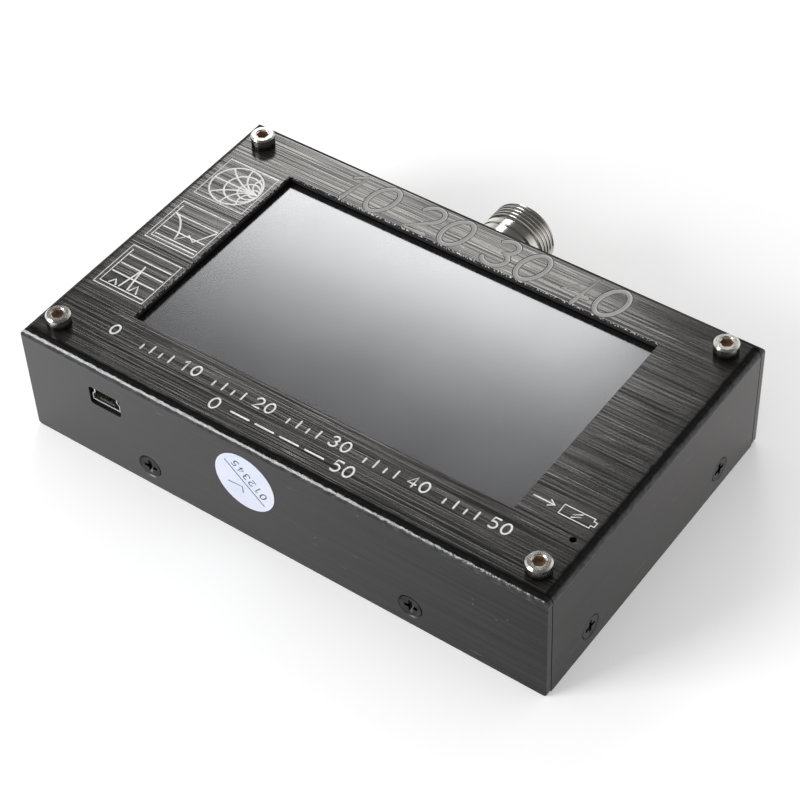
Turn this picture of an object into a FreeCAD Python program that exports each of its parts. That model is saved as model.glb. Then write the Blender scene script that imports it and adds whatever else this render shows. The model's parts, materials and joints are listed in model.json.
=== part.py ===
import FreeCAD, Part
import math
import os

# Antenna analyzer: a folded sheet-metal case with a touch screen under its window, an N-type
# antenna port and a rocker switch on the rear wall, a mini USB port in the front wall, and
# inside it a board, a battery and their leads.
# Millimetres. Origin at the centre of the bottom face, +X to the right along the long side,
# +Y to the rear wall with the antenna port, +Z up.

V = FreeCAD.Vector
X, Y, Z = V(1, 0, 0), V(0, 1, 0), V(0, 0, 1)

# ---------------------------------------------------------------- driving dimensions
# Screen module, and the margins of the case round it
screen_length = 105.5
screen_width = 67.2
screen_depth = 3.0
end_margin = 13.75
side_margin = 7.5
screen_shift_x = -0.9
screen_shift_y = 1.4
case_height = 28.8

# Folded sheet
sheet = 1.5
bend = 0.2
seam = 0.25
relief = 0.2
corner_round = 0.9
cover_fit = 0.15

# How far a cut runs past the faces that it opens
over = 1.0

# Window
window_lap_x = 4.45
window_lap_y = 6.35
window_shift_x = -0.42
window_shift_y = 2.3
gasket_depth = 0.3
gasket_setback = 0.6
touch_depth = 1.1
touch_margin = 0.7
gasket_margin = 0.35
lcd_sheet = 0.4
lcd_lip = 4.2
lcd_play = 0.2
lcd_ledge = 2.0
glass_depth = 1.0

# Flat cable from the screen to its socket on the board
ribbon_width = 20.5
ribbon_depth = 0.15
ribbon_bond = 1.6
ribbon_in_socket = 2.0
ribbon_play = 0.3
ribbon_level = 1.1
ribbon_straight = 0.6
ribbon_socket_length = 24.0
ribbon_socket_width = 5.0
ribbon_socket_height = 2.0

# Main board
board_depth = 1.6
board_gap_x = 1.2
board_gap_y = 0.6
board_hole = 1.65
board_corner = 3.0
pad_width = 6.0
pad_length = 55.0
pad_inset = 5.0

# Parts soldered under the board, placed from its centre
can_x = -6.0
can_y = 15.5
can_length = 38.0
can_width = 22.0
can_height = 3.5
can_wall = 0.3
can_round = 1.0
chip_height = 1.5
pin_depth = 0.15
pin_reach = 1.0
processor_x = 26.0
processor_y = 10.5
processor_length = 14.0
processor_width = 14.0
processor_pitch = 1.0
processor_pin_count = 13
charger_x = 46.0
charger_y = -11.0
charger_length = 5.0
charger_width = 4.0
charger_pitch = 1.27
charger_pin_count = 4
capacitor_length = 2.0
capacitor_width = 1.25
capacitor_height = 1.2
capacitor_pitch = 3.2
capacitors_in_row = 6
capacitor_gap = 1.3
coil_x = 46.0
coil_y = -22.0
coil_width = 7.0
coil_height = 3.2
coil_round = 1.2
crystal_x = 30.0
crystal_inset_y = 12.0
crystal_length = 11.0
crystal_width = 4.6
crystal_height = 3.4

# Screws of thread M3, socket heads on top, countersunk heads in the walls
corner_inset = 6.0
thread = 1.45
thread_play = 0.05
clearance_hole = 1.7
cap_radius = 2.75
cap_height = 3.0
cap_chamfer = 0.4
cap_foot_chamfer = 0.2
cap_socket = 2.5
cap_socket_depth = 1.5
cap_socket_lead = 0.2
screw_tip = 0.8
nut_flats = 5.5
nut_height = 2.4
washer_radius = 3.5
washer_depth = 0.5
spacer_radius = 3.0
spacer_bore = 1.6
edge_screw_inset_x = 32.6
edge_screw_inset_y = 15.9
edge_screw_z = 5.5
edge_screw_length = 6.0
countersink = 3.05
head_sink = 0.1
head_gap = 0.3
cross_radius = 1.75
cross_width = 0.95
cross_depth = 1.9
tab_width = 14.0
tab_height = 9.8
clinch_radius = 2.9
clinch_shank = 2.1
clinch_depth = 1.5
clinch_play = 0.05

# Charge lamp
lamp_inset_x = 4.8
lamp_inset_y = 16.05
lamp_hole = 0.75
lamp_radius = 1.5
lamp_rim = 1.9
lamp_rim_depth = 1.0
lamp_height = 4.9
lamp_gap = 0.2
lamp_leg = 0.5
lamp_leg_pitch = 2.54
leg_play = 0.15
leg_tail = 1.0

# USB socket
usb_inset_x = 22.2
usb_recess = 0.5
usb_depth = 8.2
usb_height = 3.9
usb_half_wide = 3.85
usb_half_narrow = 3.2
usb_step_low = 1.7
usb_step_high = 2.4
usb_wall = 0.3
usb_seat = 0.1
usb_room = 1.2
usb_cut_side = 0.4
usb_cut_above = 0.15
usb_cut_below = 0.95
usb_cut_round = 0.9
usb_tongue_half = 2.1
usb_tongue_level = 1.05
usb_tongue_depth = 0.5
usb_tongue_short = 0.3
usb_block_depth = 1.3
usb_contact_width = 0.4
usb_contact_depth = 0.1
usb_contact_pitch = 0.8
usb_contact_short = 0.1

# Antenna port, with a thread of 5/8 inch by 24 turns to the inch
port_shift_x = -2.5
port_radius = 7.938
port_reach = 15.6
port_hole_play = 0.1
port_pitch = 1.058
port_turns = 5
port_thread_depth = 0.65
port_crest = 0.2
port_root = 0.12
port_thread_start = 9.54
port_nose_radius = 6.9
port_relief_at = 8.85
port_relief_chamfer = 0.3
port_groove_at = 6.3
port_groove_width = 0.8
port_groove_depth = 0.5
port_bore = 4.075
port_bore_depth = 9.3
port_mouth = 5.2
port_mouth_depth = 0.9
port_flange_radius = 9.5
port_flange_depth = 2.0
port_tail_radius = 5.0
port_tail_length = 5.0
port_insulator_radius = 3.5
port_insulator_play = 0.05
port_contact_radius = 1.5
port_contact_bore = 0.85
port_contact_bore_depth = 6.0
port_contact_recess = 4.7
port_contact_slot = 0.25
port_contact_slot_depth = 4.0
port_contact_tail = 0.9
port_contact_tail_length = 3.3
port_nut_flats = 19.0
port_nut_depth = 2.4
port_nut_play = 0.05
lock_washer_radius = 10.2
lock_washer_depth = 0.8
lock_washer_teeth = 12
lock_washer_notch = 0.9
port_room = 0.6

# Rocker switch
switch_inset_x = 16.5
switch_length = 13.3
switch_height = 8.6
switch_cut_play = 0.1
switch_depth = 10.2
switch_floor = 1.2
switch_side = 0.8
switch_rim_x = 0.85
switch_rim_z = 0.7
switch_rim_depth = 1.8
switch_rim_round = 1.0
switch_board_gap = 2.0
barb_reach = 0.5
barb_length = 2.8
barb_gap = 0.2
rocker_reach = 5.8
rocker_play = 0.3
rocker_side_play = 0.25
rocker_top_angle = 30.0
rocker_skirt_angle = 12.0
rocker_dip = 2.3
rocker_tilt = 12.0
rocker_pivot_in = 0.5
trunnion_radius = 0.9
trunnion_length = 0.65
trunnion_play = 0.05
leg_half = 1.4
leg_reach = 4.6
plunger_radius = 0.8
plunger_bore = 0.88
plunger_reach = 6.0
plunger_length = 3.0
spring_top = 1.1
spring_wire = 0.11
spring_radius = 0.6
spring_turns = 5.0
seesaw_depth = 0.5
seesaw_half = 4.0
seesaw_width = 3.0
seesaw_gap = 0.15
seesaw_tilt = 8.0
knife_radius = 0.25
knife_play = 0.05
blade_width = 4.0
blade_length = 7.0
blade_play = 0.05
end_blade_at = 3.4
blade_contact_gap = 0.1

# Battery and leads
battery_length = 50.0
battery_width = 34.0
battery_depth = 8.0
battery_corner = 2.0
battery_tape = 1.1
battery_tape_margin = 3.0
battery_inset_y = 9.1
battery_right = 0.0
lead_diameter = 1.2
lead_pitch = 2.0
lead_slope = 7.5
arc_share = 0.45
plug_length = 6.0
plug_width = 5.0
plug_depth = 3.0
plug_seated = 3.0
plug_play = 0.1
battery_socket_length = 7.0
battery_socket_wall = 0.8
battery_plug_drop = 2.4
switch_lead_run = 12.8

# Inspection sticker on the front wall
sticker_inset_x = 59.5
sticker_drop = 11.5
sticker_radius = 7.6
sticker_depth = 0.12

# ---------------------------------------------------------------- derived sizes and levels
case_length = screen_length + 2 * end_margin
case_width = screen_width + 2 * side_margin
half_length = case_length / 2
half_width = case_width / 2
bend_outer = bend + sheet
inner_x = half_length - sheet
inner_y = half_width - sheet
window_length = screen_length - 2 * window_lap_x
window_width = screen_width - 2 * window_lap_y
touch_length = screen_length - 2 * touch_margin
touch_width = screen_width - 2 * touch_margin
corner_x = half_length - corner_inset
corner_y = half_width - corner_inset
edge_x = half_length - edge_screw_inset_x
edge_y = half_width - edge_screw_inset_y

under_top = case_height - sheet
touch_top = under_top - gasket_depth
screen_top = touch_top - touch_depth
screen_bottom = screen_top - screen_depth
glass_top = screen_top - lcd_sheet
glass_bottom = glass_top - glass_depth
board_top = screen_bottom - (usb_height + usb_seat + usb_room)
board_bottom = board_top - board_depth
washer_bottom = board_bottom - washer_depth
nut_bottom = washer_bottom - nut_height
board_x = inner_x - board_gap_x
board_y = inner_y - board_gap_y
screen_front = screen_shift_y - screen_width / 2
glass_margin = lcd_sheet + lcd_play
ledge_front = screen_front + glass_margin
ribbon_turn = screen_front - ribbon_straight
ribbon_mouth = screen_front + ribbon_play

usb_x = -half_length + usb_inset_x
usb_y = -half_width + usb_recess
usb_z = board_top + usb_seat
lamp_x = half_length - lamp_inset_x
lamp_y = -half_width + lamp_inset_y
port_x = port_shift_x
port_z = board_bottom - port_contact_tail
flange_front = inner_y - lock_washer_depth
flange_back = flange_front - port_flange_depth
tail_back = flange_back - port_tail_length
switch_x = -half_length + switch_inset_x
switch_z = board_bottom - switch_board_gap - switch_height / 2
pivot_y = half_width - rocker_pivot_in
knife_y = pivot_y - plunger_reach - seesaw_gap - seesaw_depth
switch_back = half_width - switch_depth
battery_x = battery_right - battery_length / 2
battery_y = -half_width + battery_inset_y + battery_width / 2
battery_bottom = sheet + battery_tape
lead_start = battery_right
lead_end = battery_right + 3 * lead_slope
plug_z = board_bottom - battery_plug_drop

# ---------------------------------------------------------------- shaping helpers


def box(x0, x1, y0, y1, z0, z1):
    """A box between its low and high faces."""
    return Part.makeBox(x1 - x0, y1 - y0, z1 - z0, V(x0, y0, z0))


def slab(x, y, length, width, z0, z1):
    """A box centred on x and y."""
    return box(x - length / 2, x + length / 2, y - width / 2, y + width / 2, z0, z1)


def rod(radius, start, end):
    """A round bar from start to end."""
    return Part.makeCylinder(radius, (end - start).Length, start, end - start)


def tube(outer, inner, start, end):
    return rod(outer, start, end).cut(rod(inner, start, end))


def prism(points, direction):
    """A flat outline pushed along a direction."""
    return Part.Face(Part.makePolygon(points + points[:1])).extrude(direction)


def hexagon(flats, depth, position):
    """A hexagonal bar along +Z, with a flat on each side of X."""
    corner = flats / math.sqrt(3)
    angles = [math.radians(60 * i) for i in range(6)]
    points = [position + V(corner * math.sin(a), corner * math.cos(a), 0) for a in angles]
    return prism(points, V(0, 0, depth))


def runs_along(edge, direction):
    """True for a straight edge parallel to a direction."""
    if edge.Curve.TypeId != "Part::GeomLine":
        return False
    return edge.tangentAt(edge.FirstParameter).cross(direction).Length < 1e-6


def rounded(solid, radius, direction, chosen=lambda point: True):
    """The solid with its chosen edges along one direction filleted."""
    edges = [e for e in solid.Edges if runs_along(e, direction) and chosen(e.CenterOfMass)]
    return solid.makeFillet(radius, edges)


def placed(solid, position, facing):
    """A copy of a solid made along +Z, moved to a position and turned to face a direction."""
    copy = solid.copy()
    copy.Placement = FreeCAD.Placement(position, FreeCAD.Rotation(Z, facing)) * solid.Placement
    return copy


def turned(solid, centre, degrees):
    """A copy turned about a vertical axis through a centre."""
    copy = solid.copy()
    copy.rotate(centre, Z, degrees)
    return copy


def save(node, *solids):
    shape = solids[0] if len(solids) == 1 else Part.makeCompound(list(solids))
    shape.exportStep("parts/" + node + ".step")


# ---------------------------------------------------------------- places shared by several parts


def corners():
    """The four corner screws."""
    return [(x, y) for x in (-corner_x, corner_x) for y in (-corner_y, corner_y)]


def edge_screws():
    """The point on the outer wall and the outward direction of each wall screw."""
    places = []
    for side in (-1, 1):
        for along in (-edge_x, edge_x):
            places.append((V(along, side * half_width, edge_screw_z), V(0, side, 0)))
        for along in (-edge_y, edge_y):
            places.append((V(side * half_length, along, edge_screw_z), V(side, 0, 0)))
    return places


def from_port(distance):
    """The point on the antenna port's axis at a distance outside the rear wall."""
    return V(port_x, half_width + distance, port_z)


# ---------------------------------------------------------------- case


def folded(length, width, direction):
    """An inverted channel: a top and two walls, folded along the given direction."""
    outer = box(-length, length, -width, width, 0, case_height)
    outer = rounded(outer, bend_outer, direction, lambda p: p.z > case_height / 2)
    slot_x = length + over if direction == X else length - sheet
    slot_y = width + over if direction == Y else width - sheet
    inner = box(-slot_x, slot_x, -slot_y, slot_y, -over, under_top)
    inner = rounded(inner, bend, direction, lambda p: p.z > case_height / 2)
    return outer.cut(inner)


def countersunk_hole():
    """Cutter for one wall screw, with the wall's outer face at z = 0."""
    cone = Part.makeCone(countersink - sheet, countersink, sheet, V(0, 0, -sheet))
    return cone.fuse(rod(clearance_hole, V(0, 0, -sheet - over), V(0, 0, over)))


def through_top(radius, x, y):
    """Cutter for a round hole in the top."""
    return rod(radius, V(x, y, under_top - over), V(x, y, case_height + over))


def usb_opening():
    half = usb_half_wide + usb_cut_side
    opening = box(usb_x - half, usb_x + half, -half_width - over, -inner_y + over,
                  usb_z - usb_cut_below, usb_z + usb_height + usb_cut_above)
    return rounded(opening, usb_cut_round, Y)


def switch_opening():
    half_x = switch_length / 2 + switch_cut_play
    half_z = switch_height / 2 + switch_cut_play
    return box(switch_x - half_x, switch_x + half_x, inner_y - over, half_width + over,
               switch_z - half_z, switch_z + half_z)


def top_cover():
    """Top, front and rear wall folded from one sheet, with the end walls between them."""
    bend_y = half_width - bend_outer
    wall_y = inner_y - seam
    main = folded(half_length, half_width, X)
    for side in (-1, 1):
        ends = sorted((side * (half_length - bend_outer), side * (half_length + over)))
        main = main.cut(box(ends[0], ends[1], -bend_y, bend_y, case_height - bend_outer, case_height + over))
    main = rounded(main, corner_round, Y, lambda p: p.z < 1e-3 and abs(p.x) > inner_x)
    block = box(-half_length, half_length, -half_width, half_width, 0, case_height)
    main = main.common(rounded(block, bend_outer, Y, lambda p: p.z > case_height / 2))
    ends = folded(half_length, bend_y - relief, Y)
    cover = main.fuse(ends)
    for side in (-1, 1):
        wall = sorted((side * inner_x, side * half_length))
        cover = cover.fuse(box(wall[0], wall[1], -wall_y, wall_y, 0, case_height - bend_outer))
    cover = cover.removeSplitter()
    cutters = [slab(window_shift_x, window_shift_y, window_length, window_width,
                    under_top - over, case_height + over)]
    cutters += [through_top(clearance_hole, x, y) for x, y in corners()]
    cutters.append(through_top(lamp_hole, lamp_x, lamp_y))
    cutters += [placed(countersunk_hole(), point, facing) for point, facing in edge_screws()]
    cutters.append(usb_opening())
    cutters.append(switch_opening())
    cutters.append(rod(port_radius + port_hole_play, from_port(-sheet - over), from_port(over)))
    for cutter in cutters:
        cover = cover.cut(cutter)
    return cover


def tab(point, facing):
    """One upright tab of the bottom cover behind a wall screw, and the notch it folds out of."""
    outside = sheet + cover_fit
    half = tab_width / 2
    root = bend_outer + sheet
    folded_tab = box(-root, 0, -half, half, 0, tab_height)
    folded_tab = rounded(folded_tab, bend_outer, Y, lambda p: p.z < 1e-3 and p.x > -1e-3)
    room = box(-root - over, -sheet, -half - over, half + over, sheet, tab_height + over)
    room = rounded(room, bend, Y, lambda p: p.z < sheet + 1e-3 and p.x > -sheet - 1e-3)
    folded_tab = folded_tab.cut(room)
    notch = box(-bend_outer, over, -half - relief, half + relief, -over, sheet + over)
    turn = math.degrees(math.atan2(facing.y, facing.x))
    base = V(point.x, point.y, 0) - facing * outside
    shapes = []
    for shape in (folded_tab, notch):
        shape.rotate(V(0, 0, 0), Z, turn)
        shape.translate(base)
        shapes.append(shape)
    return shapes


def bottom_cover():
    """Flat plate inside the walls, with a tab behind each wall screw."""
    x = inner_x - cover_fit
    y = inner_y - cover_fit
    plate = box(-x, x, -y, y, 0, sheet)
    plate = rounded(plate, corner_round, Z)
    tabs = []
    for point, facing in edge_screws():
        folded_tab, notch = tab(point, facing)
        plate = plate.cut(notch)
        tabs.append(folded_tab)
    for folded_tab in tabs:
        plate = plate.fuse(folded_tab)
    for point, facing in edge_screws():
        inward = point - facing * (sheet + clinch_depth + edge_screw_length)
        plate = plate.cut(rod(clinch_shank + clinch_play, inward, point))
    return plate.removeSplitter()


def clinch_nut():
    """Self-clinching nut behind a tab, with the wall's outer face at z = 0."""
    tab_outer = -sheet - cover_fit
    tab_inner = tab_outer - sheet
    shank = rod(clinch_shank, V(0, 0, tab_inner), V(0, 0, tab_outer - clinch_play))
    head = rod(clinch_radius, V(0, 0, tab_inner - clinch_depth), V(0, 0, tab_inner))
    bore = rod(thread + thread_play, V(0, 0, tab_inner - clinch_depth - over), V(0, 0, over))
    return shank.fuse(head).cut(bore).removeSplitter()


def wall_screw():
    """Countersunk screw with a cross recess, with the wall's outer face at z = 0."""
    top = countersink - head_gap - head_sink
    depth = top - thread
    head = Part.makeCone(thread, top, depth, V(0, 0, -head_sink - depth))
    shaft = rod(thread, V(0, 0, -edge_screw_length), V(0, 0, -head_sink - depth))
    arm = 2 * (cross_radius + over)
    deep = -head_sink - cross_depth
    cross = slab(0, 0, arm, cross_width, deep, over).fuse(slab(0, 0, cross_width, arm, deep, over))
    taper = Part.makeCone(0, cross_radius, cross_depth, V(0, 0, deep))
    lead_in = rod(cross_radius, V(0, 0, -head_sink), V(0, 0, over))
    return head.fuse(shaft).cut(cross.common(taper.fuse(lead_in))).removeSplitter()


def cap_screw():
    """Socket-head screw from the top face through spacer, board, washer and nut."""
    top = case_height + cap_height
    head = rod(cap_radius, V(0, 0, case_height), V(0, 0, top))
    rims = [e for e in head.Edges if e.Curve.TypeId == "Part::GeomCircle"]
    head = head.makeChamfer(cap_chamfer, [e for e in rims if e.CenterOfMass.z > top - 1e-3])
    rims = [e for e in head.Edges if e.Curve.TypeId == "Part::GeomCircle"]
    head = head.makeChamfer(cap_foot_chamfer, [e for e in rims if e.CenterOfMass.z < case_height + 1e-3])
    shaft = rod(thread, V(0, 0, nut_bottom - screw_tip), V(0, 0, case_height))
    mouth = cap_socket / math.sqrt(3) + cap_socket_lead
    lead_in = Part.makeCone(mouth - cap_socket_lead, mouth, cap_socket_lead, V(0, 0, top - cap_socket_lead))
    socket = hexagon(cap_socket, cap_socket_depth + over, V(0, 0, top - cap_socket_depth))
    return head.fuse(shaft).cut(socket).cut(lead_in)


def corner_stack():
    """Screws, spacers, washers and nuts of the four corners."""
    screws, spacers, washers, nuts = [], [], [], []
    for x, y in corners():
        at = V(x, y, 0)
        screws.append(placed(cap_screw(), at, Z))
        spacers.append(tube(spacer_radius, spacer_bore, at + Z * board_top, at + Z * under_top))
        washers.append(tube(washer_radius, spacer_bore, at + Z * washer_bottom, at + Z * board_bottom))
        nut = hexagon(nut_flats, nut_height, at + Z * nut_bottom)
        nuts.append(nut.cut(rod(thread + thread_play, at, at + Z * case_height)))
    return screws, spacers, washers, nuts


def sticker():
    centre = V(-half_length + sticker_inset_x, -half_width, case_height - sticker_drop)
    return rod(sticker_radius, centre, centre - Y * sticker_depth)


# ---------------------------------------------------------------- screen


def window_gasket():
    """Foam frame between the touch panel and the underside of the top."""
    outer = slab(screen_shift_x, screen_shift_y, touch_length - 2 * gasket_margin,
                 touch_width - 2 * gasket_margin, touch_top, under_top)
    hole = slab(window_shift_x, window_shift_y, window_length + 2 * gasket_setback,
                window_width + 2 * gasket_setback, touch_top - over, under_top + over)
    return outer.cut(hole)


def screen_slab(margin, z0, z1):
    """A flat layer of the screen module, set in from its outline by a margin."""
    return slab(screen_shift_x, screen_shift_y, screen_length - 2 * margin,
                screen_width - 2 * margin, z0, z1)


def lcd_frame():
    """Thin metal tray, open below, whose lip holds the glass, slotted for the ribbon."""
    frame = screen_slab(0, screen_bottom, screen_top)
    frame = frame.cut(screen_slab(lcd_sheet, screen_bottom - over, glass_top))
    frame = frame.cut(screen_slab(lcd_lip, screen_bottom - over, screen_top + over))
    slot = slab(screen_shift_x, screen_front, ribbon_width + 2 * ribbon_play, 2 * over,
                screen_bottom - over, glass_bottom + ribbon_play)
    return frame.cut(slot)


def lcd_glass():
    return screen_slab(glass_margin, glass_bottom, glass_top)


def light_guide():
    guide = screen_slab(glass_margin, screen_bottom, glass_bottom)
    ledge = box(-half_length, half_length, screen_front, ledge_front + lcd_ledge, 0, case_height)
    return guide.cut(ledge)


def screen_ribbon():
    """Flat cable that leaves the glass ledge, turns back under the module and enters its socket."""
    low = board_top + ribbon_level
    outer = (glass_bottom - low) / 2
    inner = outer - ribbon_depth
    middle = low + outer
    left = screen_shift_x - ribbon_width / 2
    bonded = ledge_front + ribbon_bond
    seated = ribbon_mouth + ribbon_in_socket

    def half_turn(radius, up):
        ends = [V(left, ribbon_turn, middle + radius), V(left, ribbon_turn, middle - radius)]
        if not up:
            ends.reverse()
        return Part.Arc(ends[0], V(left, ribbon_turn - radius, middle), ends[1]).toShape()

    def line(y0, z0, y1, z1):
        return Part.LineSegment(V(left, y0, z0), V(left, y1, z1)).toShape()

    edges = [line(bonded, glass_bottom, ribbon_turn, glass_bottom),
             half_turn(outer, True),
             line(ribbon_turn, low, seated, low),
             line(seated, low, seated, low + ribbon_depth),
             line(seated, low + ribbon_depth, ribbon_turn, low + ribbon_depth),
             half_turn(inner, False),
             line(ribbon_turn, glass_bottom - ribbon_depth, bonded, glass_bottom - ribbon_depth),
             line(bonded, glass_bottom - ribbon_depth, bonded, glass_bottom)]
    return Part.Face(Part.Wire(edges)).extrude(X * ribbon_width)


def ribbon_socket():
    half = ribbon_socket_length / 2
    body = box(screen_shift_x - half, screen_shift_x + half, ribbon_mouth, ribbon_mouth + ribbon_socket_width,
               board_top, board_top + ribbon_socket_height)
    low = board_top + ribbon_level
    slot = slab(screen_shift_x, ribbon_mouth, ribbon_width + 2 * ribbon_play,
                2 * (ribbon_in_socket + ribbon_play), low - ribbon_depth, low + 2 * ribbon_depth)
    return body.cut(slot)


def screen_pads():
    """Foam strips that carry the screen module on the board."""
    reach = screen_length / 2 - pad_inset
    return [slab(screen_shift_x + side * reach, screen_shift_y, pad_width, pad_length,
                 board_top, screen_bottom) for side in (-1, 1)]


# ---------------------------------------------------------------- board and what is soldered to it


def main_board():
    board = rounded(box(-board_x, board_x, -board_y, board_y, board_bottom, board_top), board_corner, Z)
    for radius, back in ((lock_washer_radius, flange_back), (port_tail_radius, tail_back)):
        notch = radius + port_room
        board = board.cut(box(port_x - notch, port_x + notch, back - port_room, half_width,
                              board_bottom - over, board_top + over))
    for x, y in corners():
        board = board.cut(rod(board_hole, V(x, y, 0), V(x, y, case_height)))
    for side in (-1, 1):
        at = V(lamp_x, lamp_y + side * lamp_leg_pitch / 2, 0)
        board = board.cut(rod(lamp_leg * math.sqrt(0.5) + leg_play, at, at + Z * case_height))
    return board


def charge_lamp():
    """Round lamp below its hole in the top."""
    at = V(lamp_x, lamp_y, 0)
    top = under_top - lamp_gap
    base = top - lamp_height
    body = rod(lamp_radius, at + Z * base, at + Z * (top - lamp_radius))
    rim = rod(lamp_rim, at + Z * base, at + Z * (base + lamp_rim_depth))
    dome = Part.makeSphere(lamp_radius, at + Z * (top - lamp_radius))
    return body.fuse(rim).fuse(dome).removeSplitter()


def charge_lamp_legs():
    base = under_top - lamp_gap - lamp_height
    return [slab(lamp_x, lamp_y + side * lamp_leg_pitch / 2, lamp_leg, lamp_leg,
                 board_bottom - leg_tail, base) for side in (-1, 1)]


def below_board(x, y, length, width, height):
    """A component soldered under the board."""
    return slab(x, y, length, width, board_bottom - height, board_bottom)


def shield_can():
    """Folded screening can over the measuring bridge, open towards the board."""
    can = rounded(below_board(can_x, can_y, can_length, can_width, can_height), can_round, Z)
    hollow = below_board(can_x, can_y, can_length - 2 * can_wall, can_width - 2 * can_wall,
                         can_height - can_wall)
    return can.cut(hollow)


def chip(x, y, length, width, pitch, count):
    """A chip body on pairs of flat pins that come out along its long sides."""
    body = slab(x, y, length, width, board_bottom - chip_height, board_bottom - pin_depth)
    pins = []
    for i in range(count):
        along = x + (i - (count - 1) / 2) * pitch
        pins.append(below_board(along, y, pitch / 2, width + 2 * pin_reach, pin_depth))
    return body, pins


def capacitors():
    """A row of small chip capacitors along each side of the processor."""
    away = processor_width / 2 + pin_reach + capacitor_gap + capacitor_width / 2
    solids = []
    for side in (-1, 1):
        for i in range(capacitors_in_row):
            x = processor_x + (i - (capacitors_in_row - 1) / 2) * capacitor_pitch
            solids.append(below_board(x, processor_y + side * away, capacitor_length,
                                      capacitor_width, capacitor_height))
    return solids


def power_coil():
    return rounded(below_board(coil_x, coil_y, coil_width, coil_width, coil_height), coil_round, Z)


def crystal():
    """Oval metal can of the reference crystal."""
    can = below_board(crystal_x, board_y - crystal_inset_y, crystal_length, crystal_width, crystal_height)
    return rounded(can, 0.48 * crystal_width, Z)


# ---------------------------------------------------------------- USB socket


def usb_outline(inset, y):
    """The stepped outline of the socket, wide below and narrow above."""
    wide = usb_half_wide - inset
    narrow = usb_half_narrow - inset
    half = [(wide, inset), (wide, usb_step_low), (narrow, usb_step_high), (narrow, usb_height - inset)]
    both = half + [(-x, z) for x, z in reversed(half)]
    return [V(usb_x + x, y, usb_z + z) for x, z in both]


def usb_shell():
    shell = prism(usb_outline(0, usb_y), Y * usb_depth)
    return shell.cut(prism(usb_outline(usb_wall, usb_y - over), Y * (over + usb_depth - usb_wall)))


def usb_tongue():
    """Black tongue inside the shell, on a block that closes the shell's back."""
    block_front = usb_y + usb_depth - usb_wall - usb_block_depth
    block = prism(usb_outline(usb_wall, block_front), Y * usb_block_depth)
    top = usb_z + usb_tongue_level
    tongue = box(usb_x - usb_tongue_half, usb_x + usb_tongue_half, usb_y + usb_tongue_short, block_front,
                 top - usb_tongue_depth, top)
    return block.fuse(tongue)


def usb_contacts():
    """Five contact strips on top of the tongue."""
    level = usb_z + usb_tongue_level
    front = usb_y + usb_tongue_short + usb_contact_short
    back = usb_y + usb_depth - usb_wall - usb_block_depth
    strips = []
    for i in range(-2, 3):
        x = usb_x + i * usb_contact_pitch
        strips.append(box(x - usb_contact_width / 2, x + usb_contact_width / 2, front, back,
                          level, level + usb_contact_depth))
    return strips


# ---------------------------------------------------------------- antenna port


def turned_part(profile):
    """A lathe part about the port's axis, from pairs of radius and distance outside the wall."""
    points = [from_port(distance) + X * radius for radius, distance in profile]
    face = Part.Face(Part.makePolygon(points + points[:1]))
    return face.revolve(from_port(0), Y, 360)


def port_body():
    """Threaded shell with a flange inside the case and a stepped bore."""
    flange_at = flange_front - half_width
    flange_end = flange_at - port_flange_depth
    tail_end = flange_end - port_tail_length
    sleeve = port_insulator_radius + port_insulator_play
    profile = [(port_bore, port_reach - port_bore_depth),
               (port_bore, port_reach - port_mouth_depth),
               (port_mouth, port_reach),
               (port_nose_radius, port_reach)]
    start = port_thread_start + port_turns * port_pitch
    flank = (port_pitch - port_crest - port_root) / 2
    root_radius = port_radius - port_thread_depth
    profile.append((root_radius + port_root, start + port_root))
    for turn in range(port_turns):
        top = start - turn * port_pitch
        profile += [(root_radius, top),
                    (root_radius, top - port_root),
                    (port_radius, top - port_root - flank),
                    (port_radius, top - port_root - flank - port_crest)]
    profile += [(root_radius, port_thread_start),
                (root_radius, port_relief_at),
                (port_radius - port_relief_chamfer, port_relief_at),
                (port_radius, port_relief_at - port_relief_chamfer),
                (port_radius, port_groove_at + port_groove_width),
                (port_radius - port_groove_depth, port_groove_at + port_groove_width),
                (port_radius - port_groove_depth, port_groove_at),
                (port_radius, port_groove_at),
                (port_radius, flange_at),
                (port_flange_radius, flange_at),
                (port_flange_radius, flange_end),
                (port_tail_radius, flange_end),
                (port_tail_radius, tail_end),
                (sleeve, tail_end),
                (sleeve, port_reach - port_bore_depth)]
    return turned_part(profile)


def port_insulator():
    back = tail_back - half_width
    front = port_reach - port_bore_depth
    sleeve = rod(port_insulator_radius, from_port(back), from_port(front))
    return sleeve.cut(rod(port_contact_radius, from_port(back - over), from_port(front + over)))


def port_contact():
    """Centre contact: a slotted socket in front, and a tail soldered under the board."""
    front = port_reach - port_contact_recess
    back = tail_back - half_width
    contact = rod(port_contact_radius, from_port(back), from_port(front))
    tail = rod(port_contact_tail, from_port(back - port_contact_tail_length), from_port(back))
    contact = contact.fuse(tail)
    socket_end = from_port(front - port_contact_bore_depth)
    contact = contact.cut(rod(port_contact_bore, socket_end, from_port(front + over)))
    at = from_port(front - port_contact_slot_depth)
    wide = port_contact_radius + over
    thin = port_contact_slot / 2
    long = port_contact_slot_depth + over
    for half_x, half_z in ((wide, thin), (thin, wide)):
        slot = box(at.x - half_x, at.x + half_x, at.y, at.y + long, at.z - half_z, at.z + half_z)
        contact = contact.cut(slot)
    return contact


def port_nut():
    nut = hexagon(port_nut_flats, port_nut_depth, V(0, 0, 0))
    nut = nut.cut(rod(port_radius + port_nut_play, V(0, 0, -over), V(0, 0, port_nut_depth + over)))
    nut = nut.common(Part.makeCone(port_nut_flats / 2 + port_nut_depth, port_nut_flats / 2, port_nut_depth))
    nut.rotate(V(0, 0, 0), Z, 90)
    return placed(nut, from_port(0), Y)


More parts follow.
